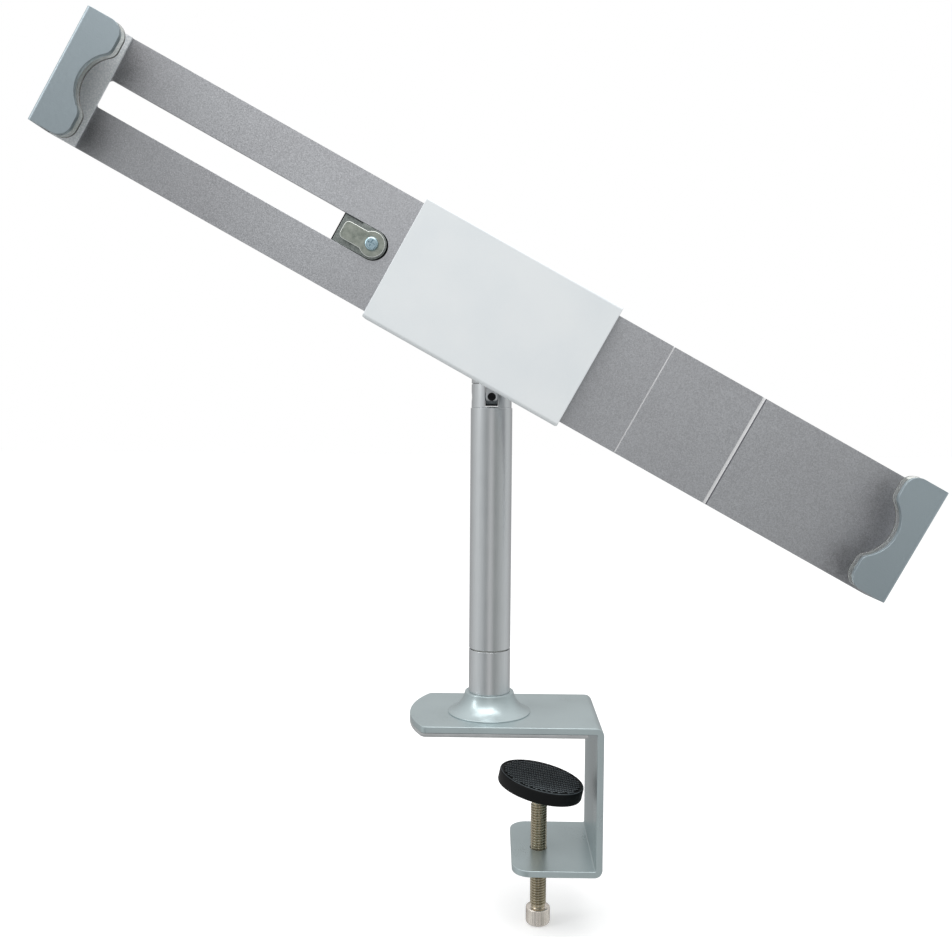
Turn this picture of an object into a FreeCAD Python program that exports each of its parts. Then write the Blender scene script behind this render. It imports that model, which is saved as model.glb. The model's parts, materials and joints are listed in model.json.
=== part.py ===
"""Lockable tablet holder on a swivelling pole with a desk clamp. Millimetres, +Z up.

The origin is on the pole's axis, on the face of the clamp that lies on the desk top.
The desk enters the clamp from -X. The holder faces -Y and is shown turned by roll_angle.
"""

import FreeCAD, Part
import math
import os

os.makedirs("parts", exist_ok=True)

V = FreeCAD.Vector
X_AXIS = V(1, 0, 0)
Y_AXIS = V(0, 1, 0)
Z_AXIS = V(0, 0, 1)
ORIGIN = V(0, 0, 0)

# ---- fits -------------------------------------------------------------------------
running_gap = 0.05        # round running fits, on the radius
slide_gap = 0.10          # flat faces that slide on each other
edge_gap = 0.30           # free edges beside a moving piece
overcut = 1.0             # how far a cutting tool runs past the face it cuts
near = 0.01               # how close to a plane an edge counts as on it

# ---- desk clamp -------------------------------------------------------------------
bracket_thickness = 2.5
bracket_front = 21.0      # pole axis to the front edge
bracket_rear = 25.0       # pole axis to the rear edge
bracket_reach = 30.9      # pole axis to the tip of the upper arm
bracket_back = 42.5       # pole axis to the outside of the spine
bracket_opening = 51.3    # between the two arms
lower_arm_tip_x = 9.0
bend_radius = 3.0         # outside radius of both bends
inner_bend_radius = 0.5
upper_tip_radius = 45.0   # the shallow curve across the upper arm's tip
upper_corner_radius = 2.5
lower_corner_radius = 7.0
liner_thickness = 1.4
bolt_head_radius = 5.5
bolt_head_height = 0.9    # lies in a pocket of the liner
bolt_radius = 3.0         # M6 swivel bolt

# ---- clamp screw and pad ----------------------------------------------------------
screw_x = 19.8
screw_radius = 3.175      # quarter inch thread
screw_head_radius = 4.76
screw_head_height = 6.35
screw_head_round = 0.7
screw_socket_radius = 2.75
screw_socket_depth = 3.2
screw_drop = 79.8         # desk face to the underside of the head
spigot_radius = 1.6
spigot_length = 5.0
ball_radius = 4.0
neck_radius = 2.0
neck_length = 4.2
pad_radius = 16.7
pad_thickness = 5.0
pad_drop = 21.6           # desk face to the middle of the pad's face
pad_tilt = 12.0           # degrees about Y, the -X side up
cup_radius = 6.5
cup_roof = 0.6            # metal over the ball
cup_below_ball = 2.2      # ball centre down to the crimped lip
cup_mouth_radius = 2.9
pad_face_skin = 0.9       # rubber between the cup and the pad's face
pad_edge_radius = 0.6

# ---- pole -------------------------------------------------------------------------
flange_radius = 16.0
flange_height = 8.0
flange_rim = 0.4
flange_top_radius = 9.4
flange_waist = (0.40, 0.33)   # a point on the skirt's curve, as shares of its reach and height
pole_radius = 8.0
collar_height = 16.7
swivel_washer_thickness = 0.5
tube_length = 92.7
tube_wall = 1.0
insert_length = 16.0
spring_washer_height = 1.6
m6_nut_width = 10.0
m6_nut_height = 5.0
m6_washer_radius = 5.5
bolt_tail = 1.5           # thread past the nut

# ---- tilting head -----------------------------------------------------------------
head_radius = 7.7
ear_height = 9.1
head_slot_width = 5.0
head_slot_floor = 0.4     # slot floor above the end of the tube
head_plug_length = 14.0
pin_height = 4.2          # pin axis above the end of the tube
pin_radius = 1.5
pin_end_inset = 0.4
tilt_range = 60.0         # degrees, backwards
tongue_radius = 3.5
cap_gap = 0.25
grub_radius = 1.5
grub_length = 1.8
grub_socket_radius = 0.85
grub_socket_depth = 1.0
boss_radius = 9.5
boss_back = 8.5           # pole axis to the back of the boss
disc_radius = 17.0
disc_thickness = 3.0
friction_washer_radius = 15.0
friction_washer_thickness = 1.0
roll_washer_radius = 7.0
roll_washer_thickness = 1.2
roll_head_radius = 6.0
roll_head_height = 1.3

# ---- tablet holder ----------------------------------------------------------------
roll_angle = 29.0         # degrees about Y, the +X end down
roll_axis_height = 33.2   # above the end of the tube
face_reach = 27.5         # pole axis to the front face of the left arm
arm_width = 43.4
arm_thickness = 2.0
arm_spacing = 1.0         # between the two arm layers
left_arm_end = 169.8      # holder centre to the outside of the hook
right_arm_end = 167.0
arm_overlap = 31.5        # length of each arm inside the sleeve when drawn out
left_slot_start = 43.2    # holder centre to the round end of the lock slot
left_slot_end = 158.7
left_slot_width = 10.8
left_slot_corner = 1.5
right_slot_width = 11.5
right_slot_depth = 24.0
mark_depth = 0.3
mark_positions = (62.5, 99.6)
mark_widths = (0.5, 1.1)

hook_height = 14.0        # left arm face to the outside of the lip
hook_bend = 1.6
lip_width = 14.7
lip_dip = 6.3             # depth of the hollow between the two lobes
lip_dip_radius = 13.0
lip_lobe_radius = 4.0
lip_corner_radius = 5.0
lip_liner_thickness = 1.0
lip_liner_proud = 1.2
grip_width = 10.2
grip_thickness = 0.8

sleeve_length = 79.0
sleeve_wall = 1.2
sleeve_corner_radius = 1.1
guide_back = 0.6
guide_rib = 3.0
guide_inset = 1.5         # guides stop short of the sleeve's ends
front_rib = 1.7
rear_rib = 1.6

plate_thickness = 2.0
plate_half_width = 19.0
plate_right_end = 32.0
plate_corner_radius = 3.0
plate_margin = 2.0        # plate past the lock block
plate_screw_x = (-33.0, 27.0)
plate_screw_z = 13.0
plate_screw_radius = 1.5
plate_screw_head_radius = 2.8
plate_screw_head_height = 1.8
plate_screw_bite = 1.0
plate_screw_key = 2.0     # across the flats
plate_screw_socket_depth = 1.0

# ---- lock -------------------------------------------------------------------------
lock_x = -48.9
block_length = 13.8       # lock axis to the square end of the block
block_side_gap = 0.35
block_step_x = 6.5        # lock axis to the step behind the tongue
block_step_depth = 1.6
lock_body_radius = 4.2
lock_plug_radius = 3.2
lock_flange_radius = 6.5
lock_flange_height = 2.4
lock_flange_round = 0.8
plug_recess = 0.6         # plug face below the flange, where the key goes in
key_slot_length = 4.2
key_slot_width = 1.1
key_slot_depth = 5.0
plug_stand_out = 0.3      # plug past the arm's face
tongue_thickness = 1.2
tongue_reach = 11.9
tongue_width = 6.6
tongue_eye_radius = 4.6
tongue_corner = 1.8
tongue_angle = 4.5        # degrees from the slot's line
cam_screw_radius = 1.25
cam_screw_head_radius = 2.4
cam_screw_head_height = 1.7
cam_screw_head_round = 0.8
cross_arm = 1.3           # middle to the end of the cross recess
cross_half_width = 0.3
cross_depth = 1.0
cam_screw_length = 5.0
block_screw_x = 9.4       # from the lock axis
block_screw_z = 2.6
block_screw_radius = 1.0
block_screw_head_radius = 1.9
block_screw_head_height = 1.2
block_screw_length = 5.0
block_screw_key = 1.3     # across the flats
block_screw_socket_depth = 0.7

# ---- places worked out from the sizes above ---------------------------------------
plate_top = liner_thickness + bracket_thickness
lower_arm_top = liner_thickness - bracket_opening
flange_top = plate_top + flange_height
collar_top = flange_top + collar_height
tube_bottom = collar_top + swivel_washer_thickness
tube_top = tube_bottom + tube_length
tube_bore = pole_radius - tube_wall
insert_top = tube_bottom + insert_length
pin_z = tube_top + pin_height
cap_bottom = tube_top + ear_height + cap_gap
roll_z = tube_top + roll_axis_height

ball_z = -pad_drop - pad_face_skin - cup_roof - ball_radius
screw_bottom = -screw_drop
screw_head_top = screw_bottom + screw_head_height
screw_top = ball_z - neck_length

right_face = arm_thickness + arm_spacing          # local Y of the right arm's front face
right_back = right_face + arm_thickness
sleeve_inner_front = -slide_gap - front_rib
sleeve_front = sleeve_inner_front - sleeve_wall
sleeve_inner_back = right_back + slide_gap + rear_rib
sleeve_back = sleeve_inner_back + sleeve_wall
plate_back = sleeve_back + plate_thickness
sleeve_half = arm_width / 2 + edge_gap + guide_back + sleeve_wall
disc_front_y = plate_back - face_reach + friction_washer_thickness
disc_back_y = disc_front_y + disc_thickness
block_half = left_slot_width / 2 - block_side_gap


def box(x0, x1, y0, y1, z0, z1):
    return Part.makeBox(x1 - x0, y1 - y0, z1 - z0, V(x0, y0, z0))


def rod(radius, start, end):
    """A solid cylinder between two points."""
    return Part.makeCylinder(radius, (end - start).Length, start, end - start)


def ring(outer, inner, start, end):
    return rod(outer, start, end).cut(rod(inner, start, end))


def hexagon(width, start, end):
    """A hexagonal prism, width across its flats."""
    corner = width / math.sqrt(3)
    points = [V(corner * math.cos(math.radians(60 * i)), corner * math.sin(math.radians(60 * i)), 0)
              for i in range(7)]
    prism = Part.Face(Part.makePolygon(points)).extrude(V(0, 0, (end - start).Length))
    prism.Placement = FreeCAD.Placement(start, FreeCAD.Rotation(Z_AXIS, end - start))
    return prism


def edges_along(shape, axis, test):
    """Straight edges parallel to an axis whose middle passes the test."""
    found = []
    for edge in shape.Edges:
        if len(edge.Vertexes) != 2 or edge.Curve.TypeId != "Part::GeomLine":
            continue
        direction = (edge.Vertexes[1].Point - edge.Vertexes[0].Point).normalize()
        if abs(abs(direction.dot(axis)) - 1) < 1e-6 and test(edge.CenterOfMass):
            found.append(edge)
    return found


def turned(profile):
    """A body of revolution about Z from a closed outline in the XZ plane."""
    return Part.Face(profile).revolve(ORIGIN, Z_AXIS, 360)


def place_holder(shape):
    """From the holder's own frame to the part's frame.

    In its own frame the arms lie along X, the left arm's front face is at Y = 0 and -Y is the front.
    """
    placed = shape.copy()
    placed.Placement = FreeCAD.Placement(V(0, -face_reach, roll_z), FreeCAD.Rotation(Y_AXIS, roll_angle))
    return placed


def export(name, shape):
    shape.exportStep("parts/" + name + ".step")


# ---- desk clamp -------------------------------------------------------------------
def bracket_strip(start_x, end_x, z0, z1):
    """A flat strip as wide as the bracket."""
    return box(start_x, end_x, -bracket_front, bracket_rear, z0, z1)


def upper_arm_plate(back_x, z0, z1):
    """The upper arm's outline: a strip whose -X tip is one shallow curve."""
    centre_x = upper_tip_radius - bracket_reach
    centre_y = (bracket_rear - bracket_front) / 2
    curve = rod(upper_tip_radius, V(centre_x, centre_y, z0), V(centre_x, centre_y, z1))
    tip = bracket_strip(-bracket_reach, centre_x, z0, z1).common(curve)
    plate = tip.fuse(bracket_strip(centre_x, back_x, z0, z1)).removeSplitter()
    corners = edges_along(plate, Z_AXIS, lambda c: c.x < centre_x - near)
    return plate.makeFillet(upper_corner_radius, corners)


def lower_arm_plate(z0, z1):
    """The shorter lower arm, with rounded corners at its tip."""
    plate = bracket_strip(lower_arm_tip_x, bracket_back, z0, z1)
    corners = edges_along(plate, Z_AXIS, lambda c: abs(c.x - lower_arm_tip_x) < near)
    return plate.makeFillet(lower_corner_radius, corners)


def make_clamp_bracket():
    lower_bottom = lower_arm_top - bracket_thickness
    upper = upper_arm_plate(bracket_back, liner_thickness, plate_top)
    lower = lower_arm_plate(lower_bottom, lower_arm_top)
    spine = bracket_strip(bracket_back - bracket_thickness, bracket_back, lower_bottom, plate_top)
    bracket = upper.fuse([lower, spine]).removeSplitter()
    outside = edges_along(bracket, Y_AXIS, lambda c: abs(c.x - bracket_back) < near)
    bracket = bracket.makeFillet(bend_radius, outside)
    inner_x = bracket_back - bracket_thickness
    inside = edges_along(bracket, Y_AXIS, lambda c: abs(c.x - inner_x) < near)
    bracket = bracket.makeFillet(inner_bend_radius, inside)
    bolt_hole = rod(bolt_radius + running_gap, V(0, 0, 0), V(0, 0, plate_top + overcut))
    screw_hole = rod(
        screw_radius + running_gap,
        V(screw_x, 0, lower_bottom - overcut),
        V(screw_x, 0, lower_arm_top + overcut),
    )
    return bracket.cut([bolt_hole, screw_hole])


def make_desk_liner():
    inner_x = bracket_back - bracket_thickness - edge_gap - bend_radius
    liner = upper_arm_plate(inner_x, 0, liner_thickness)
    pocket_floor = liner_thickness - bolt_head_height
    pocket = rod(bolt_head_radius + edge_gap, V(0, 0, pocket_floor), V(0, 0, liner_thickness + overcut))
    return liner.cut(pocket)


def make_swivel_bolt():
    head_bottom = liner_thickness - bolt_head_height
    head = rod(bolt_head_radius, V(0, 0, head_bottom), V(0, 0, liner_thickness))
    top = insert_top + spring_washer_height + m6_nut_height + bolt_tail
    return head.fuse(rod(bolt_radius, V(0, 0, head_bottom), V(0, 0, top))).removeSplitter()


def make_pole_flange():
    """A spun foot whose skirt sweeps out to a thin rim on the clamp."""
    bore = bolt_radius + running_gap
    rim_z = plate_top + flange_rim
    start = V(flange_top_radius, 0, flange_top)
    end = V(flange_radius, 0, rim_z)
    waist_out, waist_up = flange_waist
    middle = V(
        flange_top_radius + waist_out * (flange_radius - flange_top_radius),
        0,
        rim_z + waist_up * (flange_top - rim_z),
    )
    outline = [
        Part.LineSegment(V(bore, 0, plate_top), V(flange_radius, 0, plate_top)),
        Part.LineSegment(V(flange_radius, 0, plate_top), end),
        Part.Arc(end, middle, start),
        Part.LineSegment(start, V(bore, 0, flange_top)),
        Part.LineSegment(V(bore, 0, flange_top), V(bore, 0, plate_top)),
    ]
    return turned(Part.Wire([line.toShape() for line in outline]))


def make_pole_collar():
    return ring(pole_radius, bolt_radius + running_gap, V(0, 0, flange_top), V(0, 0, collar_top))


def make_swivel_washer():
    return ring(pole_radius - tube_wall, bolt_radius + running_gap, V(0, 0, collar_top), V(0, 0, tube_bottom))


# ---- clamp screw and pad ----------------------------------------------------------
def make_clamp_screw():
    shank = rod(screw_radius, V(screw_x, 0, screw_head_top), V(screw_x, 0, screw_top))
    head = rod(screw_head_radius, V(screw_x, 0, screw_bottom), V(screw_x, 0, screw_head_top))
    rim = [e for e in head.Edges if abs(e.CenterOfMass.z - screw_bottom) < near]
    head = head.makeFillet(screw_head_round, rim)
    spigot = rod(spigot_radius, V(screw_x, 0, screw_top), V(screw_x, 0, screw_top + spigot_length))
    socket = hexagon(
        screw_socket_radius * math.sqrt(3),
        V(screw_x, 0, screw_bottom - overcut),
        V(screw_x, 0, screw_bottom + screw_socket_depth),
    )
    return shank.fuse([head, spigot]).cut(socket).removeSplitter()


def make_ball_tip():
    """A ball with a neck, pressed on the spigot once the screw is through the arm."""
    ball = Part.makeSphere(ball_radius, V(screw_x, 0, ball_z))
    neck = rod(neck_radius, V(screw_x, 0, screw_top), V(screw_x, 0, ball_z))
    hole = rod(spigot_radius, V(screw_x, 0, screw_top), V(screw_x, 0, screw_top + spigot_length))
    return ball.fuse(neck).removeSplitter().cut(hole)


def tilt_pad(shape):
    shape.rotate(V(screw_x, 0, ball_z), Y_AXIS, pad_tilt)
    return shape


def make_pad_cup():
    cup_bottom = ball_z - cup_below_ball
    cup_top = ball_z + ball_radius + cup_roof
    cup = rod(cup_radius, V(screw_x, 0, cup_bottom), V(screw_x, 0, cup_top))
    cavity = Part.makeSphere(ball_radius + running_gap, V(screw_x, 0, ball_z))
    mouth = rod(cup_mouth_radius, V(screw_x, 0, cup_bottom - overcut), V(screw_x, 0, ball_z))
    return tilt_pad(cup.cut([cavity, mouth]))


def make_clamp_pad():
    top = -pad_drop
    pad = rod(pad_radius, V(screw_x, 0, top - pad_thickness), V(screw_x, 0, top))
    pad = pad.makeFillet(pad_edge_radius, [e for e in pad.Edges if e.Closed])
    pocket = rod(cup_radius, V(screw_x, 0, top - pad_thickness - overcut), V(screw_x, 0, top - pad_face_skin))
    return tilt_pad(pad.cut(pocket))


# ---- pole -------------------------------------------------------------------------
def make_pole_tube():
    return ring(pole_radius, tube_bore, V(0, 0, tube_bottom), V(0, 0, tube_top))


def make_lower_insert():
    return ring(tube_bore, bolt_radius + running_gap, V(0, 0, tube_bottom), V(0, 0, insert_top))


def make_spring_washer():
    start = V(0, 0, insert_top)
    end = V(0, 0, insert_top + spring_washer_height)
    return ring(m6_washer_radius, bolt_radius + running_gap, start, end)


def make_swivel_nut():
    start = V(0, 0, insert_top + spring_washer_height)
    end = start + V(0, 0, m6_nut_height)
    return hexagon(m6_nut_width, start, end).cut(rod(bolt_radius, start, end))


def ear_profile():
    """Side view of the ears about the pin: square in front, rounded and sloped behind."""
    rise = ear_height - pin_height
    lean = math.radians(tilt_range)
    floor = -pin_height
    half_lean = V(0, rise * math.sin(lean / 2), rise * math.cos(lean / 2))
    leave = V(0, rise * math.sin(lean), rise * math.cos(lean))
    fall = (leave.z - floor) / math.sin(lean)
    foot = V(0, leave.y + fall * math.cos(lean), floor)
    front = -head_radius - overcut
    lines = [
        Part.LineSegment(V(0, front, floor), V(0, front, rise)),
        Part.LineSegment(V(0, front, rise), V(0, 0, rise)),
        Part.Arc(V(0, 0, rise), half_lean, leave),
        Part.LineSegment(leave, foot),
        Part.LineSegment(foot, V(0, front, floor)),
    ]
    return Part.Wire([line.toShape() for line in lines])


def make_pole_head():
    ears = rod(head_radius, V(0, 0, tube_top), V(0, 0, tube_top + ear_height))
    side = Part.Face(ear_profile()).extrude(V(2 * head_radius + 2 * overcut, 0, 0))
    side.translate(V(-head_radius - overcut, 0, pin_z))
    ears = ears.common(side)
    plug = rod(tube_bore, V(0, 0, tube_top - head_plug_length), V(0, 0, tube_top))
    head = ears.fuse(plug)
    slot = box(
        -head_slot_width / 2, head_slot_width / 2,
        -head_radius - overcut, head_radius + overcut,
        tube_top + head_slot_floor, tube_top + ear_height + overcut,
    )
    past_ears = head_radius + overcut
    bore = rod(pin_radius + running_gap, V(-past_ears, 0, pin_z), V(past_ears, 0, pin_z))
    return head.cut([slot, bore]).removeSplitter()


# ---- tilting head -----------------------------------------------------------------
def make_tilt_pin():
    half = head_radius - pin_end_inset
    return rod(pin_radius, V(-half, 0, pin_z), V(half, 0, pin_z))


def make_tilt_knuckle():
    half = head_slot_width / 2 - slide_gap
    eye = rod(tongue_radius, V(-half, 0, pin_z), V(half, 0, pin_z))
    tongue = box(-half, half, -tongue_radius, tongue_radius, pin_z, cap_bottom + overcut)
    post = rod(head_radius, V(0, 0, cap_bottom), V(0, 0, roll_z))
    boss = rod(boss_radius, V(0, disc_back_y, roll_z), V(0, boss_back, roll_z))
    disc = rod(disc_radius, V(0, disc_front_y, roll_z), V(0, disc_back_y, roll_z))
    knuckle = eye.fuse([tongue, post, boss, disc]).removeSplitter()
    bolt_bore = rod(
        bolt_radius + running_gap,
        V(0, disc_front_y - overcut, roll_z),
        V(0, boss_back + overcut, roll_z),
    )
    pin_bore = rod(pin_radius, V(-half - overcut, 0, pin_z), V(half + overcut, 0, pin_z))
    grub_bore = rod(grub_radius, V(0, -tongue_radius - overcut, pin_z), V(0, 0, pin_z))
    return knuckle.cut([bolt_bore, pin_bore, grub_bore])


def make_grub_screw():
    front = -tongue_radius
    grub = rod(grub_radius, V(0, front, pin_z), V(0, front + grub_length, pin_z))
    grub = grub.cut(rod(pin_radius, V(-overcut - grub_radius, 0, pin_z), V(overcut + grub_radius, 0, pin_z)))
    socket = hexagon(
        grub_socket_radius * math.sqrt(3),
        V(0, front - overcut, pin_z),
        V(0, front + grub_socket_depth, pin_z),
    )
    return grub.cut(socket)


def make_friction_washer():
    start = V(0, disc_front_y - friction_washer_thickness, roll_z)
    return ring(friction_washer_radius, bolt_radius + running_gap, start, V(0, disc_front_y, roll_z))


def make_roll_bolt():
    seat = sleeve_inner_back - face_reach
    end = boss_back + roll_washer_thickness + m6_nut_height + bolt_tail
    head = rod(roll_head_radius, V(0, seat - roll_head_height, roll_z), V(0, seat, roll_z))
    return head.fuse(rod(bolt_radius, V(0, seat, roll_z), V(0, end, roll_z))).removeSplitter()


def make_roll_washer():
    start = V(0, boss_back, roll_z)
    end = start + V(0, roll_washer_thickness, 0)
    return ring(roll_washer_radius, bolt_radius + running_gap, start, end)


def make_roll_nut():
    start = V(0, boss_back + roll_washer_thickness, roll_z)
    end = start + V(0, m6_nut_height, 0)
    return hexagon(m6_nut_width, start, end).cut(rod(bolt_radius, start, end))


# ---- arms, in the holder's own frame, hook end at -X -------------------------------
def lip_outline(outer, width, front, back):
    """The lip's two lobes with a hollow between them."""
    half = arm_width / 2
    edge = outer + width
    lip = box(outer, edge, front, back, -half, half)
    corners = edges_along(lip, Y_AXIS, lambda c: abs(c.x - edge) < near)
    lip = lip.makeFillet(lip_corner_radius, corners)
    hollow_x = edge + lip_dip_radius - lip_dip
    hollow = rod(lip_dip_radius, V(hollow_x, front - overcut, 0), V(hollow_x, back + overcut, 0))
    lip = lip.cut(hollow)
    reach = math.sqrt(lip_dip_radius ** 2 - (lip_dip_radius - lip_dip) ** 2)
    lobes = edges_along(lip, Y_AXIS, lambda c: abs(c.x - edge) < near and abs(abs(c.z) - reach) < 0.1)
    return lip.makeFillet(lip_lobe_radius, lobes)


def make_hooked_arm(end, face, inner_end):
    """One arm bent up at -X into an end wall and a lip, before its slots are cut."""
    half = arm_width / 2
    back = face + arm_thickness
    plate = box(-end, -inner_end, face, back, -half, half)
    wall = box(-end, -end + arm_thickness, -hook_height, back, -half, half)
    lip = lip_outline(-end, lip_width, -hook_height, -hook_height + arm_thickness)
    arm = plate.fuse([wall, lip]).removeSplitter()
    bends = edges_along(arm, Z_AXIS, lambda c: abs(c.x + end) < near)
    return arm.makeFillet(hook_bend, bends)


def mirrored(shape):
    return shape.mirror(ORIGIN, X_AXIS)


def make_left_arm():
    inner_end = sleeve_length / 2 - arm_overlap
    arm = make_hooked_arm(left_arm_end, 0, inner_end)
    half = left_slot_width / 2
    square_end = box(-left_slot_end, -left_slot_start - half, -overcut, arm_thickness + overcut, -half, half)
    corners = edges_along(square_end, Y_AXIS, lambda c: abs(c.x + left_slot_end) < near)
    square_end = square_end.makeFillet(left_slot_corner, corners)
    round_x = -left_slot_start - half
    round_end = rod(half, V(round_x, -overcut, 0), V(round_x, arm_thickness + overcut, 0))
    return arm.cut(square_end.fuse(round_end))


def make_right_arm():
    inner_end = sleeve_length / 2 - arm_overlap
    arm = make_hooked_arm(right_arm_end, right_face, inner_end)
    half = right_slot_width / 2
    closed_x = -inner_end - right_slot_depth + half
    slot = box(closed_x, -inner_end + overcut, right_face - overcut, right_back + overcut, -half, half)
    slot = slot.fuse(rod(half, V(closed_x, right_face - overcut, 0), V(closed_x, right_back + overcut, 0)))
    tools = [slot]
    for position, width in zip(mark_positions, mark_widths):
        tools.append(box(
            -position - width / 2, -position + width / 2,
            right_face - overcut, right_face + mark_depth,
            -arm_width, arm_width,
        ))
    return mirrored(arm.cut(tools))


def make_lip_liner(end):
    """A soft sheet inside the lip that shows past its wavy edge."""
    start = -end + arm_thickness
    front = -hook_height + arm_thickness
    liner = lip_outline(-end, lip_width + lip_liner_proud, front, front + lip_liner_thickness)
    half = arm_width / 2
    return liner.cut(box(-end - overcut, start, front - overcut, 0, -half - overcut, half + overcut))


def make_grip_pad(end, face):
    half = arm_width / 2
    start = -end + arm_thickness
    return box(start, start + grip_width, face - grip_thickness, face, -half, half)


# ---- sleeve, in the holder's own frame ---------------------------------------------
def make_sleeve():
    half = sleeve_length / 2
    outer = box(-half, half, sleeve_front, sleeve_back, -sleeve_half, sleeve_half)
    outer = outer.makeFillet(sleeve_corner_radius, edges_along(outer, X_AXIS, lambda c: True))
    inner_half = sleeve_half - sleeve_wall
    inner = box(
        -half - overcut, half + overcut,
        sleeve_inner_front, sleeve_inner_back,
        -inner_half, inner_half,
    )
    start = sleeve_inner_back - overcut
    end = sleeve_back + overcut
    holes = [rod(bolt_radius + running_gap, V(0, start, 0), V(0, end, 0))]
    for x, z in plate_screw_places():
        holes.append(rod(plate_screw_radius, V(x, start, z), V(x, end, z)))
    return outer.cut([inner] + holes)


def make_upper_guide():
    """A nylon strip with a groove for the edge of each arm."""
    half = sleeve_length / 2 - guide_inset
    outside = sleeve_half - sleeve_wall
    inside = arm_width / 2 + edge_gap - guide_rib
    floor = outside - guide_back
    strip = box(-half, half, sleeve_inner_front, sleeve_inner_back, inside, outside)
    grooves = []
    for face in (0, right_face):
        grooves.append(box(
            -half - overcut, half + overcut,
            face - slide_gap, face + arm_thickness + slide_gap,
            inside - overcut, floor,
        ))
    return strip.cut(grooves)


def plate_screw_places():
    return [(x, z) for x in plate_screw_x for z in (-plate_screw_z, plate_screw_z)]


def make_rear_plate():
    left = lock_x - block_length - plate_margin
    plate = box(left, plate_right_end, sleeve_back, plate_back, -plate_half_width, plate_half_width)
    plate = plate.makeFillet(plate_corner_radius, edges_along(plate, Y_AXIS, lambda c: True))
    start = sleeve_back - overcut
    end = plate_back + overcut
    tools = [
        rod(bolt_radius + running_gap, V(0, start, 0), V(0, end, 0)),
        rod(lock_body_radius, V(lock_x, start, 0), V(lock_x, end, 0)),
    ]
    for x, z in plate_screw_places():
        tools.append(rod(plate_screw_radius, V(x, start, z), V(x, end, z)))
    for z in (-block_screw_z, block_screw_z):
        x = lock_x - block_screw_x
        tools.append(rod(block_screw_radius, V(x, start, z), V(x, end, z)))
        head_seat = plate_back - block_screw_head_height
        tools.append(rod(block_screw_head_radius, V(x, head_seat, z), V(x, end, z)))
    return plate.cut(tools)


def make_plate_screws():
    screws = []
    for x, z in plate_screw_places():
        tip = V(x, sleeve_inner_back - plate_screw_bite + slide_gap, z)
        shank = rod(plate_screw_radius, tip, V(x, plate_back, z))
        head_end = plate_back + plate_screw_head_height
        head = rod(plate_screw_head_radius, V(x, plate_back, z), V(x, head_end, z))
        socket_floor = V(x, head_end - plate_screw_socket_depth, z)
        socket = hexagon(plate_screw_key, socket_floor, V(x, head_end + overcut, z))
        screws.append(shank.fuse(head).removeSplitter().cut(socket))
    return Part.makeCompound(screws)


# ---- lock, in the holder's own frame ------------------------------------------------
def make_lock_block():
    start = lock_x - block_length
    block = box(start, lock_x, 0, sleeve_back, -block_half, block_half)
    block = block.fuse(rod(block_half, V(lock_x, 0, 0), V(lock_x, sleeve_back, 0))).removeSplitter()
    step = box(
        start - overcut, lock_x - block_step_x,
        -overcut, block_step_depth,
        -block_half - overcut, block_half + overcut,
    )
    tools = [step, rod(lock_body_radius, V(lock_x, -overcut, 0), V(lock_x, sleeve_back + overcut, 0))]
    for z in (-block_screw_z, block_screw_z):
        x = lock_x - block_screw_x
        depth = plate_back - block_screw_length
        tools.append(rod(block_screw_radius, V(x, depth, z), V(x, sleeve_back + overcut, z)))
    return block.cut(tools)


def make_lock_body():
    """The fixed shell of the lock, with its flange behind the rear plate."""
    body = rod(lock_body_radius, V(lock_x, 0, 0), V(lock_x, plate_back, 0))
    flange = rod(lock_flange_radius, V(lock_x, plate_back, 0), V(lock_x, plate_back + lock_flange_height, 0))
    flange_back = plate_back + lock_flange_height
    rim = [e for e in flange.Edges if abs(e.CenterOfMass.y - flange_back) < near]
    flange = flange.makeFillet(lock_flange_round, rim)
    bore = rod(lock_plug_radius + running_gap, V(lock_x, -overcut, 0), V(lock_x, flange_back + overcut, 0))
    return body.fuse(flange).removeSplitter().cut(bore)


def make_lock_plug():
    """The turning plug: keyway behind, screw hole for the tongue in front."""
    back = plate_back + lock_flange_height - plug_recess
    plug = rod(lock_plug_radius, V(lock_x, -plug_stand_out, 0), V(lock_x, back, 0))
    keyway = box(
        lock_x - key_slot_length / 2, lock_x + key_slot_length / 2,
        back - key_slot_depth, back + overcut,
        -key_slot_width / 2, key_slot_width / 2,
    )
    hole_end = cam_screw_length - tongue_thickness - plug_stand_out
    hole = rod(cam_screw_radius, V(lock_x, -plug_stand_out - overcut, 0), V(lock_x, hole_end, 0))
    return plug.cut([keyway, hole])


def turn_tongue(shape):
    shape.rotate(V(lock_x, 0, 0), Y_AXIS, -tongue_angle)
    return shape


def make_lock_tongue():
    back = -plug_stand_out
    front = back - tongue_thickness
    blade = box(lock_x - tongue_reach, lock_x, front, back, -tongue_width / 2, tongue_width / 2)
    tips = edges_along(blade, Y_AXIS, lambda c: c.x < lock_x - tongue_reach + near)
    blade = blade.makeFillet(tongue_corner, tips)
    tongue = blade.fuse(rod(tongue_eye_radius, V(lock_x, front, 0), V(lock_x, back, 0))).removeSplitter()
    hole = rod(cam_screw_radius, V(lock_x, front - overcut, 0), V(lock_x, back + overcut, 0))
    return turn_tongue(tongue.cut(hole))


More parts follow.
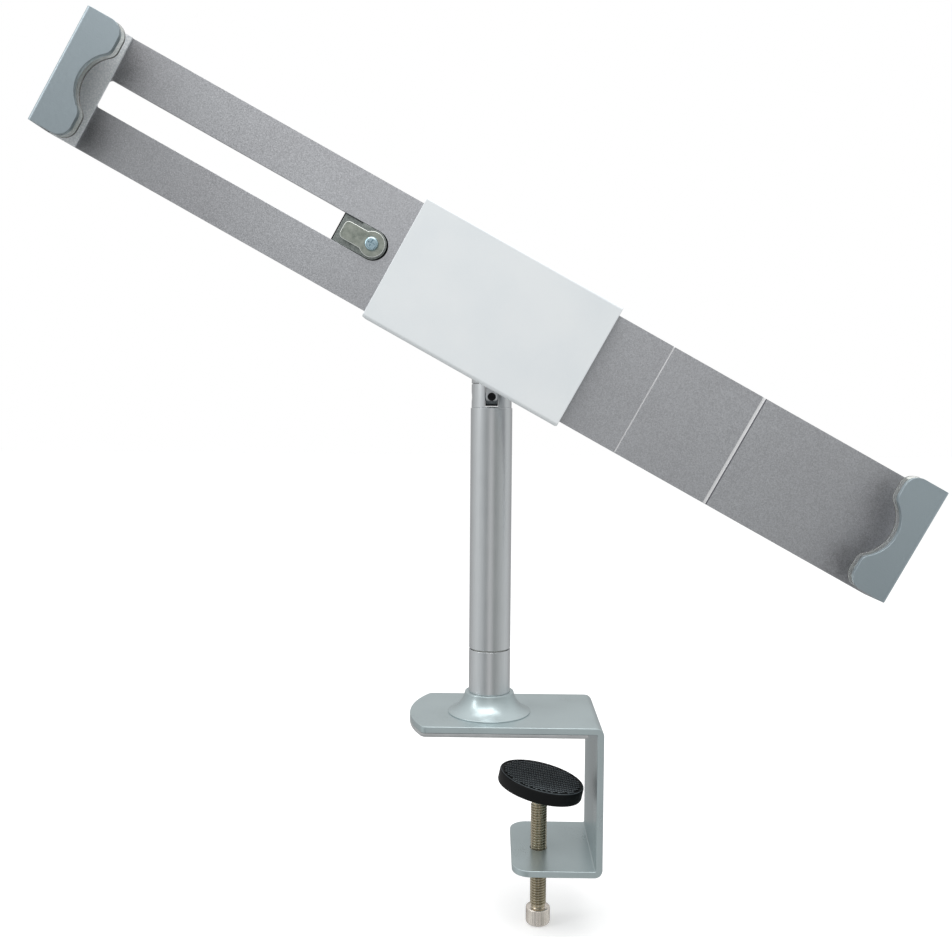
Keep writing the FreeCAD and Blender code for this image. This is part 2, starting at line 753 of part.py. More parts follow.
def make_tongue_screw():
    seat = -plug_stand_out - tongue_thickness
    shank = rod(cam_screw_radius, V(lock_x, seat, 0), V(lock_x, seat + cam_screw_length, 0))
    head = rod(cam_screw_head_radius, V(lock_x, seat - cam_screw_head_height, 0), V(lock_x, seat, 0))
    head_front = seat - cam_screw_head_height
    rim = [e for e in head.Edges if abs(e.CenterOfMass.y - head_front) < near]
    head = head.makeFillet(cam_screw_head_round, rim)
    screw = shank.fuse(head).removeSplitter()
    cross = []
    for half_x, half_z in ((cross_arm, cross_half_width), (cross_half_width, cross_arm)):
        cross.append(box(
            lock_x - half_x, lock_x + half_x,
            head_front - overcut, head_front + cross_depth,
            -half_z, half_z,
        ))
    return turn_tongue(screw.cut(cross))


def make_block_screws():
    screws = []
    for z in (-block_screw_z, block_screw_z):
        x = lock_x - block_screw_x
        shank = rod(block_screw_radius, V(x, plate_back - block_screw_length, z), V(x, plate_back, z))
        head_seat = plate_back - block_screw_head_height
        head = rod(block_screw_head_radius, V(x, head_seat, z), V(x, plate_back, z))
        socket_floor = V(x, plate_back - block_screw_socket_depth, z)
        socket = hexagon(block_screw_key, socket_floor, V(x, plate_back + overcut, z))
        screws.append(shank.fuse(head).removeSplitter().cut(socket))
    return Part.makeCompound(screws)


fixed_frame_parts = {
    "clamp_bracket": make_clamp_bracket,
    "desk_liner": make_desk_liner,
    "swivel_bolt": make_swivel_bolt,
    "pole_flange": make_pole_flange,
    "pole_collar": make_pole_collar,
    "swivel_washer": make_swivel_washer,
    "spring_washer": make_spring_washer,
    "swivel_nut": make_swivel_nut,
    "clamp_screw": make_clamp_screw,
    "ball_tip": make_ball_tip,
    "pad_cup": make_pad_cup,
    "clamp_pad": make_clamp_pad,
    "pole_tube": make_pole_tube,
    "lower_insert": make_lower_insert,
    "pole_head": make_pole_head,
    "tilt_pin": make_tilt_pin,
    "tilt_knuckle": make_tilt_knuckle,
    "grub_screw": make_grub_screw,
    "friction_washer": make_friction_washer,
    "roll_bolt": make_roll_bolt,
    "roll_washer": make_roll_washer,
    "roll_nut": make_roll_nut,
}

holder_frame_parts = {
    "left_arm": make_left_arm,
    "right_arm": make_right_arm,
    "left_lip_liner": lambda: make_lip_liner(left_arm_end),
    "right_lip_liner": lambda: mirrored(make_lip_liner(right_arm_end)),
    "left_grip_pad": lambda: make_grip_pad(left_arm_end, 0),
    "sleeve": make_sleeve,
    "upper_guide": make_upper_guide,
    "lower_guide": lambda: make_upper_guide().mirror(ORIGIN, Z_AXIS),
    "rear_plate": make_rear_plate,
    "plate_screws": make_plate_screws,
    "lock_block": make_lock_block,
    "block_screws": make_block_screws,
    "lock_body": make_lock_body,
    "lock_plug": make_lock_plug,
    "lock_tongue": make_lock_tongue,
    "tongue_screw": make_tongue_screw,
}

for name, make in fixed_frame_parts.items():
    export(name, make())

for name, make in holder_frame_parts.items():
    export(name, place_holder(make()))
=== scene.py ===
"""Lockable tablet holder: its looks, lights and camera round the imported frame. Metres, +Z up."""
import json
import math

import bmesh
import bpy
from mathutils import Matrix, Vector
from mathutils.geometry import delaunay_2d_cdt

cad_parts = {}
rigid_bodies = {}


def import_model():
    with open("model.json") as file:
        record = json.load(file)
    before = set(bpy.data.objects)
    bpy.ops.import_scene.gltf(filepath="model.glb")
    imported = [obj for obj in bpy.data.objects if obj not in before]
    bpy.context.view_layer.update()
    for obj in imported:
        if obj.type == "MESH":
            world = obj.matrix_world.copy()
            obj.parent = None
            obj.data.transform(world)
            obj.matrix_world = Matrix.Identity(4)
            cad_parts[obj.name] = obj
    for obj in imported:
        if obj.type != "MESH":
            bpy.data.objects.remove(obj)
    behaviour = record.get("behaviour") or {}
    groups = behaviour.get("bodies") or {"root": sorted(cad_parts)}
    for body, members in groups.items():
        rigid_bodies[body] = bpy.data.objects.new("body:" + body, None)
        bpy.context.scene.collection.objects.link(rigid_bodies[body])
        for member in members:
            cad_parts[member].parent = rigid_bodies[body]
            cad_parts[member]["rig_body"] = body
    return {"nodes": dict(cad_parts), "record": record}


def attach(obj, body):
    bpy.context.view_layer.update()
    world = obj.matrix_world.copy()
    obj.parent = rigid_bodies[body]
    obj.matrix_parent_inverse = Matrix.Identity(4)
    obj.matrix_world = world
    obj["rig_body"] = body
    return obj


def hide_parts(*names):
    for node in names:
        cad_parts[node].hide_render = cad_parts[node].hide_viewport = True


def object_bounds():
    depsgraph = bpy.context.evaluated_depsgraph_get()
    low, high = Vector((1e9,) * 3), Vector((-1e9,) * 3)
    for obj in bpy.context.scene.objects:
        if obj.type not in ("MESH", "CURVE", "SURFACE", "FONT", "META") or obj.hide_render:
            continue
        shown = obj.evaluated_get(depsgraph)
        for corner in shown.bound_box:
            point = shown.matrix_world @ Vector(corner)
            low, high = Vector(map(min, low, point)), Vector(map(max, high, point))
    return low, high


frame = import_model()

cad_low, cad_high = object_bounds()
MM = 0.001
scene = bpy.context.scene
record = frame["record"]
slot_of = {part["node"]: part["material_slot"] for part in record["subparts"]}
roll_angle = math.radians(29.0)          # the holder's turn about Y, the right end down
holder_height = 155.0 * MM


# ---- camera -------------------------------------------------------------------------
camera_place = Vector((-0.00037, -0.37405, 0.11524))
camera_pitch = math.radians(2.57)        # looking down
camera_turn = math.radians(-0.834)       # looking left
camera_roll = math.radians(0.431)
camera_lens = 36.71


def aim_camera():
    ahead = Vector((
        math.sin(camera_turn) * math.cos(camera_pitch),
        math.cos(camera_turn) * math.cos(camera_pitch),
        -math.sin(camera_pitch),
    ))
    level = Vector((math.cos(camera_turn), -math.sin(camera_turn), 0))
    upright = level.cross(ahead)
    right = level * math.cos(camera_roll) + upright * math.sin(camera_roll)
    up = upright * math.cos(camera_roll) - level * math.sin(camera_roll)
    data = bpy.data.cameras.new("studio_camera")
    data.lens = camera_lens
    data.sensor_width = 36.0
    data.clip_start = 0.01
    data.clip_end = 60.0
    camera = bpy.data.objects.new("studio_camera", data)
    camera.matrix_world = Matrix.Translation(camera_place) @ Matrix((right, up, -ahead)).transposed().to_4x4()
    scene.collection.objects.link(camera)
    scene.camera = camera


# ---- shader nodes as sums -----------------------------------------------------------
class Value:
    """An output of a shader node. Sums on it add Math nodes."""

    def __init__(self, finish, socket):
        self.finish = finish
        self.socket = socket

    def math(self, operation, *inputs):
        return self.finish.node("ShaderNodeMath", {"operation": operation}, dict(enumerate(inputs)))

    def __add__(self, other):
        return self.math("ADD", self, other)

    def __radd__(self, other):
        return self.math("ADD", other, self)

    def __sub__(self, other):
        return self.math("SUBTRACT", self, other)

    def __rsub__(self, other):
        return self.math("SUBTRACT", other, self)

    def __mul__(self, other):
        return self.math("MULTIPLY", self, other)

    def __truediv__(self, other):
        return self.math("DIVIDE", self, other)

    def __lt__(self, other):
        return self.math("LESS_THAN", self, other)

    def __abs__(self):
        return self.math("ABSOLUTE", self)


def shade(red, green, blue):
    """A colour from its 0 to 255 values."""
    linear = []
    for channel in (red, green, blue):
        share = channel / 255
        linear.append(share / 12.92 if share <= 0.04045 else ((share + 0.055) / 1.055) ** 2.4)
    return (*linear, 1.0)


class Finish:
    """One material, its Principled shader and the nodes that feed it."""

    def __init__(self, name, tree=None):
        if tree is None:
            self.material = bpy.data.materials.new(name)
            self.material.use_nodes = True
            tree = self.material.node_tree
        self.tree = tree
        self.tree.nodes.clear()

    def feed(self, socket, value):
        if isinstance(value, Value):
            self.tree.links.new(value.socket, socket)
        else:
            socket.default_value = value

    def node(self, kind, settings=None, inputs=None, output=0):
        made = self.tree.nodes.new(kind)
        for name, value in (settings or {}).items():
            if name == "stops":
                self.set_stops(made.color_ramp, value)
            else:
                setattr(made, name, value)
        for key, value in (inputs or {}).items():
            self.feed(made.inputs[key], value)
        return Value(self, made.outputs[output])

    def set_stops(self, ramp, stops):
        for position, colour in stops[2:]:
            ramp.elements.new(position)
        for element, (position, colour) in zip(ramp.elements, stops):
            element.position = position
            element.color = colour

    def place(self):
        """Where a point is on the piece, in metres."""
        return self.node("ShaderNodeTexCoord", output="Object")

    def axes(self, vector):
        return [self.node("ShaderNodeSeparateXYZ", {}, {0: vector}, output) for output in range(3)]

    def noise(self, vector, scale, detail=2.0, roughness=0.5):
        return self.node("ShaderNodeTexNoise", {}, {
            "Vector": vector, "Scale": scale, "Detail": detail, "Roughness": roughness,
        })

    def stretched(self, vector, stretch):
        return self.node("ShaderNodeVectorMath", {"operation": "MULTIPLY"}, {0: vector, 1: stretch})

    def remap(self, value, low, high, to_low=0.0, to_high=1.0):
        return self.node("ShaderNodeMapRange", {}, {0: value, 1: low, 2: high, 3: to_low, 4: to_high})

    def ramp(self, value, stops):
        return self.node("ShaderNodeValToRGB", {"stops": stops}, {0: value})

    def mix(self, factor, first, second):
        return self.node("ShaderNodeMix", {"data_type": "RGBA"}, {0: factor, 6: first, 7: second}, output=2)

    def bump(self, height, distance, strength=1.0):
        return self.node("ShaderNodeBump", {}, {"Height": height, "Distance": distance, "Strength": strength})

    def surface(self, inputs):
        shader = self.node("ShaderNodeBsdfPrincipled", {}, inputs)
        output = self.tree.nodes.new("ShaderNodeOutputMaterial")
        self.feed(output.inputs["Surface"], shader)
        return self.material


# ---- sizes of the clamp screw and rubber pad that their finishes use, mm -------------
screw_head_top = -73.45
thread_starts = 0.05                     # above the head, where the thread's darker painted shade begins
ball_centre = Vector((19.8, 0, -27.1))
pad_tilt = math.radians(12.0)
pad_radius = 16.7
pad_top = 5.5                            # from the ball's centre
pad_bottom = 0.5
waffle_floor = 5.08
waffle_radius = 16.0
waffle_pitch = 1.36
stud_foot = 0.50                         # half its side
stud_top = 0.36


# ---- finishes -----------------------------------------------------------------------
def painted_metal(name, light, dark, metallic, roughness, flake=0.10):
    """Sprayed silver: soft cloudy tone, fine flakes and a trace of orange peel."""
    f = Finish(name)
    place = f.place()
    clouds = f.noise(place, 45.0, 3.0)
    flakes = f.noise(place, 5200.0, 1.0)
    peel = f.noise(place, 900.0, 2.0)
    tone = f.mix(f.remap(clouds, 0.35, 0.65), dark, light)
    speck = f.mix(f.remap(flakes, 0.60, 0.75, 0.0, flake), tone, (1.0, 1.0, 1.0, 1.0))
    return f.surface({
        "Base Color": speck,
        "Metallic": metallic,
        "Roughness": roughness + (clouds - 0.5) * 0.08 + (flakes - 0.5) * 0.10,
        "Normal": f.bump(peel + flakes * 0.35, 0.012 * MM),
    })


# the two cut marks on the right arm: their middles and half their widths along the arm
first_mark = (62.5 * MM, 0.25 * MM)
second_mark = (99.6 * MM, 0.55 * MM)
second_mark_shadow = (100.4 * MM, 0.22 * MM)
lip_depth = -34.0 * MM                   # the lips lie in front of this
painted_shade_ends_along = (-0.150, -0.080)       # where the painted shade on the left arm deepens, from the sleeve's middle
arm_half_width = 0.0215


def anodised_metal():
    """Bead-blasted and anodised sheet with a coarse sparkling grain, bright cut marks and painted shade
    towards the left arm's end and its lower edge.
    """
    f = Finish("anodised_sheet")
    place = f.place()
    x, depth, z = f.axes(place)
    on_lip = depth < lip_depth
    along_arm = x * math.cos(roll_angle) - (z - holder_height) * math.sin(roll_angle)
    across_arm = x * math.sin(roll_angle) + (z - holder_height) * math.cos(roll_angle)
    # painted shade: the sheet darkens towards the left arm's end and along its lower long edge, where the
    # light falls off
    left_painted_shade = f.remap(along_arm, *painted_shade_ends_along, 0.82, 1.0)
    lower_painted_shade = f.remap(across_arm, -arm_half_width, arm_half_width, 0.90, 1.02)
    painted_shade = left_painted_shade * lower_painted_shade
    front_face = f.axes(f.node("ShaderNodeTexCoord", output="Normal"))[1] < -0.5
    on_first = abs(along_arm - first_mark[0]) < first_mark[1]
    on_second = abs(along_arm - second_mark[0]) < second_mark[1]
    lit = (on_first + on_second) * front_face
    unlit = (abs(along_arm - second_mark_shadow[0]) < second_mark_shadow[1]) * front_face
    clouds = f.noise(place, 22.0, 3.0)
    grain = f.noise(place, 2300.0, 2.0, 0.6)
    sparkle = f.noise(place, 4200.0, 1.0)
    tone = f.mix(f.remap(clouds, 0.3, 0.7), shade(202, 203, 207), shade(210, 212, 216))
    grained = f.mix(f.remap(grain, 0.35, 0.68), f.mix(0.74, (0.0, 0.0, 0.0, 1.0), tone), tone)
    bright = f.mix(f.remap(sparkle, 0.60, 0.74, 0.0, 0.65), grained, shade(238, 238, 242))
    plain = f.mix(on_lip, bright, f.mix(clouds, shade(176, 189, 196), shade(188, 201, 207)))
    marked = f.mix(unlit, f.mix(lit, plain, shade(252, 252, 253)), shade(120, 120, 126))
    return f.surface({
        "Base Color": f.mix(painted_shade, (0.0, 0.0, 0.0, 1.0), marked),
        "Metallic": 0.85 - lit * 0.60,
        "Roughness": f.remap(grain, 0.3, 0.7, 0.36, 0.50),
        "Normal": f.bump(grain + sparkle * 0.5, 0.03 * MM),
    })


def machined_metal(name, light, dark, roughness, stretch=(1.0, 1.0, 1.0), metallic=1.0, unevenness=1.0):
    """Bare or plated metal with fine lines or grain left by its tool."""
    f = Finish(name)
    place = f.place()
    lines = f.noise(f.stretched(place, stretch), 1800.0, 3.0, 0.6)
    clouds = f.noise(place, 90.0, 3.0)
    tone = f.mix(f.remap(lines + (clouds - 0.5) * 0.6, 0.3, 0.7), dark, light)
    return f.surface({
        "Base Color": tone,
        "Metallic": metallic,
        "Roughness": roughness + (lines - 0.5) * (0.16 * unevenness) + (clouds - 0.5) * 0.10,
        "Normal": f.bump(lines, 0.01 * MM * unevenness),
    })


def moulded_rubber(name, light, dark, roughness, grain=1500.0):
    f = Finish(name)
    place = f.place()
    matt = f.noise(place, grain, 3.0, 0.6)
    dust = f.noise(place, 160.0, 4.0, 0.6)
    tone = f.mix(f.remap(dust + (matt - 0.5) * 0.5, 0.35, 0.75), dark, light)
    return f.surface({
        "Base Color": tone,
        "Roughness": roughness + (matt - 0.5) * 0.15,
        "Normal": f.bump(matt, 0.02 * MM),
    })


def tongue_metal():
    """Plain stamped steel with a painted highlight along its rounded edges."""
    f = Finish("tongue_steel")
    place = f.place()
    facing = f.axes(f.node("ShaderNodeTexCoord", output="Normal"))[1]
    # painted highlight: faces turned away from the front are painted near white and made less metallic
    edge_highlight = f.remap(facing, -0.98, -0.80)
    clouds = f.noise(place, 420.0, 4.0, 0.65)
    face = f.mix(f.remap(clouds, 0.30, 0.70), shade(142, 150, 142), shade(186, 192, 182))
    return f.surface({
        "Base Color": f.mix(edge_highlight, face, shade(250, 252, 248)),
        "Metallic": 1.0 - edge_highlight * 0.9,
        "Roughness": 0.30 + (clouds - 0.5) * 0.20,
        "Normal": f.bump(clouds, 0.02 * MM),
    })


def screw_metal():
    """Warm nickel, painted darker on the thread than on the head: painted shade in the thread."""
    f = Finish("nickel_steel")
    place = f.place()
    lines = f.noise(f.stretched(place, (1.0, 1.0, 0.3)), 1500.0, 2.0)
    # painted shade: the thread gets a darker base colour than the head of the same nickel
    on_head = f.axes(place)[2] < (screw_head_top + thread_starts) * MM
    thread = f.mix(f.remap(lines, 0.3, 0.7), shade(170, 162, 143), shade(198, 189, 168))
    head = f.mix(f.remap(lines, 0.3, 0.7), shade(230, 221, 211), shade(243, 235, 226))
    return f.surface({
        "Base Color": f.mix(on_head, thread, head),
        "Metallic": 1.0,
        "Roughness": 0.27 + (lines - 0.5) * 0.06,
        "Normal": f.bump(lines, 0.004 * MM),
    })


def waffle_rubber():
    """Black rubber with a painted highlight on its studs, lightest on their tops, and near black between
    them.
    """
    f = Finish("black_rubber")
    place = f.place()
    x, _, z = f.axes(place)
    height = (x - ball_centre.x * MM) * math.sin(pad_tilt) + (z - ball_centre.z * MM) * math.cos(pad_tilt)
    # painted highlight: the grey rises with height up the studs, from near black on the floor between them
    stud_highlight = f.remap(height, (waffle_floor + 0.18) * MM, (pad_top - 0.04) * MM)
    matt = f.noise(place, 1500.0, 3.0, 0.6)
    dust = f.noise(place, 160.0, 4.0, 0.6)
    face = f.mix(f.remap(dust, 0.35, 0.75), shade(100, 108, 113), shade(122, 129, 134))
    return f.surface({
        "Specular IOR Level": 0.22,
        "Base Color": f.mix(stud_highlight, shade(7, 9, 11), face),
        "Roughness": 0.52 + (matt - 0.5) * 0.15,
        "Normal": f.bump(matt, 0.02 * MM),
    })


def clear_rubber():
    f = Finish("clear_silicone")
    place = f.place()
    haze = f.noise(place, 240.0, 3.0)
    return f.surface({
        "Base Color": f.mix(f.remap(haze, 0.35, 0.65), shade(246, 249, 243), shade(252, 253, 251)),
        "Roughness": f.remap(haze, 0.3, 0.7, 0.07, 0.14),
        "Transmission Weight": 0.9,
        "IOR": 1.43,
        "Normal": f.bump(haze, 0.02 * MM),
    })


def foam_strip():
    f = Finish("grip_foam")
    place = f.place()
    cells = f.node("ShaderNodeTexVoronoi", {}, {"Vector": place, "Scale": 1500.0}, output="Distance")
    tone = f.mix(f.remap(cells, 0.1, 0.7), shade(250, 252, 254), shade(222, 227, 231))
    return f.surface({
        "Base Color": tone,
        "Roughness": f.remap(cells, 0.1, 0.7, 0.62, 0.80),
        "Normal": f.bump(cells, 0.05 * MM, 0.7),
    })


finishes = {
    "silver_paint": painted_metal("silver_paint", shade(184, 197, 199), shade(177, 190, 192), 0.66, 0.30),
    "white_silver_paint": painted_metal(
        "white_silver_paint", shade(247, 251, 253), shade(242, 247, 250), 0.05, 0.36, 0.05),
    "satin_aluminium": machined_metal(
        "satin_aluminium", shade(216, 219, 221), shade(211, 214, 216), 0.32,
        (1.0, 1.0, 0.06), unevenness=0.3,
    ),
    "anodised_sheet": anodised_metal(),
    "zinc_steel": machined_metal("zinc_steel", shade(196, 222, 232), shade(158, 184, 196), 0.24),
    "nickel_steel": screw_metal(),
    "tongue_steel": tongue_metal(),
    "black_steel": machined_metal("black_steel", shade(44, 44, 46), shade(26, 26, 28), 0.45, metallic=0.6),
    "lock_zinc": machined_metal("lock_zinc", shade(166, 172, 169), shade(126, 133, 130), 0.38),
    "lock_chrome": machined_metal("lock_chrome", shade(224, 226, 228), shade(204, 207, 210), 0.16),
    "black_rubber": waffle_rubber(),
    "grey_rubber": moulded_rubber("grey_rubber", shade(180, 182, 183), shade(166, 168, 169), 0.70),
    "clear_silicone": clear_rubber(),
    "grip_foam": foam_strip(),
    "nylon": moulded_rubber("nylon", shade(226, 226, 220), shade(206, 206, 200), 0.48),
}


# ---- pieces -------------------------------------------------------------------------
weld_distance = 0.002 * MM
flat_within = math.radians(0.4)
sharp_from = math.radians(32)


def add_piece(name, mesh_from, node, smooth_angle=35.0):
    """A new piece that stands for one CAD node, riding where that node rides."""
    mesh = bpy.data.meshes.new(name)
    mesh_from.to_mesh(mesh)
    mesh_from.free()
    mesh.shade_smooth()
    mesh.set_sharp_from_angle(angle=math.radians(smooth_angle))
    mesh.materials.append(finishes[slot_of[node]])
    piece = bpy.data.objects.new(name, mesh)
    scene.collection.objects.link(piece)
    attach(piece, frame["nodes"][node]["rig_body"])
    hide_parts(node)
    return piece


def plain_mesh(node):
    """The node's shape with its flat faces whole again."""
    source = bmesh.new()
    source.from_mesh(frame["nodes"][node].data)
    bmesh.ops.remove_doubles(source, verts=source.verts, dist=weld_distance)
    bmesh.ops.dissolve_limit(source, angle_limit=flat_within, verts=source.verts, edges=source.edges)
    made = bmesh.new()
    corners = [made.verts.new(v.co) for v in source.verts]
    source.verts.index_update()
    for face in source.faces:
        made.faces.new([corners[v.index] for v in face.verts])
    source.free()
    made.normal_update()
    return made


def ease_edges(node, width):
    """Breaks the node's sharp edges, so that they catch the light."""
    made = plain_mesh(node)
    if node in swollen:
        swell(made, swollen[node])
    sharp = [e for e in made.edges if len(e.link_faces) == 2 and e.calc_face_angle() > sharp_from]
    bmesh.ops.bevel(
        made, geom=sharp, offset=width * MM, offset_type="OFFSET", segments=2, profile=0.5,
        affect="EDGES", clamp_overlap=False, loop_slide=True,
    )
    piece = add_piece(node + "_eased", made, node, 50.0)
    weighted = piece.modifiers.new("even_faces", "WEIGHTED_NORMAL")
    weighted.keep_sharp = True
    weighted.weight = 80


edge_widths = {                          # how wide each node's broken edges are, mm
    "clamp_bracket": 0.32,
    "desk_liner": 0.30,
    "pole_flange": 0.12,
    "pole_collar": 0.20,
    "pole_tube": 0.20,
    "pole_head": 0.20,
    "tilt_knuckle": 0.18,
    "left_arm": 0.11,
    "right_arm": 0.11,
    "left_lip_liner": 0.12,
    "right_lip_liner": 0.12,
    "sleeve": 0.20,
    "rear_plate": 0.25,
    "lock_block": 0.12,
    "lock_body": 0.14,
    "lock_tongue": 0.26,
    "roll_nut": 0.2,
    "roll_washer": 0.15,
}


swollen = {"lock_block": 0.20}           # how far its two long sides stand out, mm


def swell(made, width):
    """Moves a piece's long sides out across the arm, towards the slot's sides."""
    across = Vector((math.sin(roll_angle), 0, math.cos(roll_angle)))
    middle = Vector((0, 0, holder_height))
    half = max(abs((v.co - middle).dot(across)) for v in made.verts)
    for vert in made.verts:
        vert.co += across * ((vert.co - middle).dot(across) / half * width * MM)


def ring(radius, height, count, turn=0.0):
    return [
        Vector((
            radius * math.cos(turn + 2 * math.pi * i / count),
            radius * math.sin(turn + 2 * math.pi * i / count),
            height,
        ))
        for i in range(count)
    ]


def loft(made, rings, close_start=True, close_end=True):
    """Skins a row of rings, each given from the lowest outwards, and fans its ends shut."""
    rows = [[made.verts.new(point) for point in points] for points in rings]
    count = len(rows[0])
    for low, high in zip(rows, rows[1:]):
        for i in range(count):
            j = (i + 1) % count
            made.faces.new((low[i], low[j], high[j], high[i]))
    if close_start:
        centre = made.verts.new(sum((v.co for v in rows[0]), Vector()) / count)
        for i in range(count):
            made.faces.new((rows[0][(i + 1) % count], rows[0][i], centre))
    if close_end:
        centre = made.verts.new(sum((v.co for v in rows[-1]), Vector()) / count)
        for i in range(count):
            made.faces.new((rows[-1][i], rows[-1][(i + 1) % count], centre))
    return rows


# ---- clamp screw --------------------------------------------------------------------
screw_x = 19.8
screw_radius = 3.175
thread_root = 2.58
thread_pitch = 1.03
thread_steps = 12                        # rings in one pitch
ridge_slope = 1.45
ridge_flat = 0.18                        # share of the ridge's height lost to the flat root
screw_head_radius = 4.76
screw_bottom = -79.8
screw_top = -31.3
socket_flat = 2.38                       # screw axis to a flat of the hexagon socket
socket_depth = 3.2
spigot_bore = 1.6
knurl_teeth = 36
around = 144


def thread_ring(height, fade):
    """One ring of a helical thread, its ridge fading out at the ends."""
    points = []
    for i in range(around):
        angle = 2 * math.pi * i / around
        phase = (height / thread_pitch - i / around) % 1.0
        ridge = min(1.0, max(0.0, ridge_slope * (1 - abs(2 * phase - 1)) - ridge_flat))
        ridge = ridge * ridge * (3 - 2 * ridge)
        radius = thread_root + (screw_radius - thread_root) * ridge * fade
        points.append(Vector((radius * math.cos(angle), radius * math.sin(angle), height)))
    return points


def hexagon_ring(flat, height):
    points = []
    for i in range(around):
        angle = 2 * math.pi * i / around
        radius = flat / math.cos(angle % (math.pi / 3) - math.pi / 6)
        points.append(Vector((radius * math.cos(angle), radius * math.sin(angle), height)))
    return points


def knurl_ring(radius, height, depth):
    points = []
    for i, point in enumerate(ring(radius, height, around)):
        dip = depth * (0.5 - 0.5 * math.cos(2 * math.pi * i * knurl_teeth / around))
        points.append(Vector((point.x * (1 - dip / radius), point.y * (1 - dip / radius), height)))
    return points


def make_clamp_screw():
    low, top = screw_bottom, screw_head_top
    rings = [
        hexagon_ring(socket_flat, low + socket_depth),
        hexagon_ring(socket_flat, low + 0.25),
        ring(socket_flat * 1.24, low, around),
        ring(screw_head_radius - 0.95, low, around),
        ring(screw_head_radius - 0.45, low + 0.16, around),
        ring(screw_head_radius - 0.12, low + 0.55, around),
        knurl_ring(screw_head_radius, low + 0.95, 0.0),
        knurl_ring(screw_head_radius, low + 1.25, 0.13),
        knurl_ring(screw_head_radius, top - 0.75, 0.13),
        knurl_ring(screw_head_radius, top - 0.50, 0.0),
        ring(screw_head_radius - 0.10, top - 0.18, around),
        ring(screw_head_radius - 0.35, top, around),
        ring(thread_root + 0.25, top, around),
        ring(thread_root, top + 0.25, around),
    ]
    start, end = top + 0.5, screw_top - 0.4
    count = round((end - start) / thread_pitch * thread_steps)
    for i in range(count + 1):
        height = start + (end - start) * i / count
        fade = min(1.0, (height - start) / 1.0, (end - height) / 0.8)
        rings.append(thread_ring(height, max(0.0, fade)))
    rings += [
        ring(thread_root - 0.35, screw_top, around),
        ring(spigot_bore, screw_top, around),
        ring(spigot_bore, screw_top - 0.2, around),
    ]
    made = bmesh.new()
    loft(made, rings)
    move = Matrix.Translation(Vector((screw_x, 0, 0)) * MM) @ Matrix.Scale(MM, 4)
    bmesh.ops.transform(made, matrix=move, verts=made.verts)
    bmesh.ops.recalc_face_normals(made, faces=made.faces)
    add_piece("clamp_screw_threaded", made, "clamp_screw", 38.0)


# ---- rubber pad ---------------------------------------------------------------------
pocket_radius = 6.5
pocket_ceiling = 4.6
rim_around = 120


def stud_centres():
    reach = int(waffle_radius / waffle_pitch) + 2
    centres = []
    for i in range(-reach, reach + 1):
        for j in range(-reach, reach + 1):
            x = (i + j) * waffle_pitch / math.sqrt(2)
            y = (i - j) * waffle_pitch / math.sqrt(2)
            if math.hypot(x, y) < waffle_radius - stud_foot * math.sqrt(2) - 0.15:
                centres.append((x, y))
    return centres


def diamond(centre, half, height):
    """A square stood on its corner."""
    reach = half * math.sqrt(2)
    x, y = centre
    return [Vector((x + dx, y + dy, height)) for dx, dy in ((reach, 0), (0, reach), (-reach, 0), (0, -reach))]


def make_clamp_pad():
    made = bmesh.new()
    rings = [
        ring(pocket_radius, pocket_ceiling, rim_around),
        ring(pocket_radius, pad_bottom, rim_around),
        ring(pad_radius - 0.6, pad_bottom, rim_around),
        ring(pad_radius - 0.18, pad_bottom + 0.16, rim_around),
        ring(pad_radius, pad_bottom + 0.6, rim_around),
        ring(pad_radius, pad_top - 0.7, rim_around),
        ring(pad_radius - 0.08, pad_top - 0.35, rim_around),
        ring(pad_radius - 0.30, pad_top - 0.10, rim_around),
        ring(pad_radius - 0.50, pad_top - 0.02, rim_around),
        ring(waffle_radius, waffle_floor, rim_around),
    ]
    rows = loft(made, rings, close_end=False)
    centres = stud_centres()
    flat = [v.co.to_2d() for v in rows[-1]]
    outlines = [list(range(rim_around))]
    for centre in centres:
        outlines.append(list(range(len(flat), len(flat) + 4)))
        flat += [corner.to_2d() for corner in diamond(centre, stud_foot, 0)]
    points, _, faces, _, _, inside = delaunay_2d_cdt(flat, [], outlines, 1, 1e-5)
    floor = [made.verts.new((p.x, p.y, waffle_floor)) for p in points]
    for face, owners in zip(faces, inside):
        if len(owners) == 1:
            made.faces.new([floor[i] for i in face])
    for centre in centres:
        foot = [made.verts.new(corner) for corner in diamond(centre, stud_foot, waffle_floor)]
        top = [made.verts.new(corner) for corner in diamond(centre, stud_top, pad_top)]
        for i in range(4):
            j = (i + 1) % 4
            made.faces.new((foot[i], foot[j], top[j], top[i]))
        made.faces.new(top)
    bmesh.ops.remove_doubles(made, verts=made.verts, dist=1e-4)
    move = (
        Matrix.Translation(ball_centre * MM)
        @ Matrix.Rotation(pad_tilt, 4, "Y")
        @ Matrix.Scale(MM, 4)
    )
    bmesh.ops.transform(made, matrix=move, verts=made.verts)
    bmesh.ops.recalc_face_normals(made, faces=made.faces)
    add_piece("clamp_pad_waffle", made, "clamp_pad", 35.0)


# ---- stage --------------------------------------------------------------------------
floor_reach = 6.0
floor_height = cad_low.z - 0.0002


def make_floor():
    made = bmesh.new()
    bmesh.ops.create_grid(made, x_segments=24, y_segments=24, size=floor_reach)
    mesh = bpy.data.meshes.new("studio_floor")
    made.to_mesh(mesh)
    made.free()
    f = Finish("pale_floor")
    grain = f.noise(f.place(), 40.0, 3.0)
    mesh.materials.append(f.surface({
        "Base Color": f.mix(grain, shade(240, 240, 240), shade(244, 244, 244)),
        "Roughness": 0.9,
        "Emission Color": (1.0, 1.0, 1.0, 1.0),
        "Emission Strength": 0.28,
    }))
    floor = bpy.data.objects.new("studio_floor", mesh)
    floor.location.z = floor_height
    floor.visible_diffuse = False
    floor.visible_glossy = False
    scene.collection.objects.link(floor)


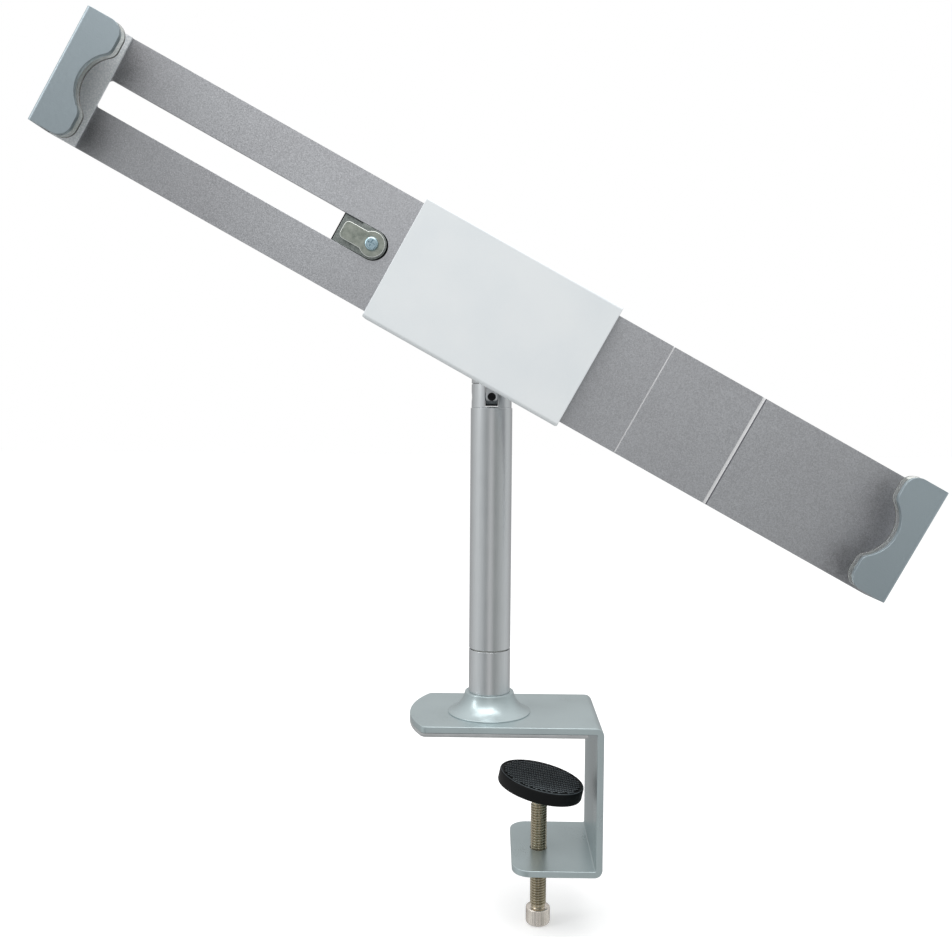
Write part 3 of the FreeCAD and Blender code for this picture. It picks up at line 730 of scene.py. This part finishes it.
def add_softbox(name, place, target, width, height, power, colour=(1.0, 1.0, 1.0)):
    data = bpy.data.lights.new(name, "AREA")
    data.shape = "RECTANGLE"
    data.size = width
    data.size_y = height
    data.energy = power
    data.color = colour
    light = bpy.data.objects.new(name, data)
    light.location = place
    light.rotation_mode = "QUATERNION"
    light.rotation_quaternion = (Vector(target) - Vector(place)).to_track_quat("-Z", "Y")
    scene.collection.objects.link(light)


def light_room():
    """A white room: soft cards of uneven brightness all round and a bright ceiling."""
    world = bpy.data.worlds.new("studio")
    world.use_nodes = True
    f = Finish("studio", world.node_tree)
    x, y, z = f.axes(f.node("ShaderNodeTexCoord", output="Generated"))
    heading = x.math("ARCTAN2", x, y * -1.0) / (2 * math.pi) + 0.5

    def grey(level, tint=(1.0, 1.0, 1.0)):
        return (*[level * t for t in tint], 1.0)

    walls = f.ramp(heading, [
        (0.00, grey(0.40)),
        (0.12, grey(0.45)),
        (0.28, grey(0.74, (0.98, 1.0, 1.0))),
        (0.37, grey(0.60, (0.97, 0.99, 1.0))),
        (0.44, grey(0.30, (0.95, 1.0, 1.0))),
        (0.475, grey(0.56)),
        (0.50, grey(0.78, (1.0, 0.99, 0.99))),
        (0.525, grey(0.56)),
        (0.56, grey(0.29, (0.95, 1.0, 0.98))),
        (0.65, grey(0.52, (0.98, 1.0, 0.99))),
        (0.78, grey(0.70, (0.98, 1.0, 1.0))),
        (0.90, grey(0.42)),
        (1.00, grey(0.40)),
    ])
    ceiling = f.mix(f.remap(z, 0.15, 0.75), walls, grey(0.95))
    seen = f.node("ShaderNodeLightPath", output="Is Camera Ray")
    colour = f.mix(seen, ceiling, grey(1.0))
    glow = f.node("ShaderNodeBackground", {}, {"Color": colour, "Strength": 1.0})
    f.feed(f.tree.nodes.new("ShaderNodeOutputWorld").inputs["Surface"], glow)
    scene.world = world
    add_softbox("ceiling_softbox", (-0.10, -0.30, 0.95), (0, 0, 0.0), 0.9, 0.7, 5.0)
    add_softbox("upper_left_strip", (-0.62, -0.22, 0.48), (-0.15, -0.02, 0.23), 0.12, 0.5, 0.8)
    scene.view_settings.view_transform = "Standard"


aim_camera()
for node, body in frame["nodes"].items():
    for held in body.material_slots:
        held.material = finishes[slot_of[node]]
for node, width in edge_widths.items():
    ease_edges(node, width)
make_clamp_screw()
make_clamp_pad()
make_floor()
light_room()
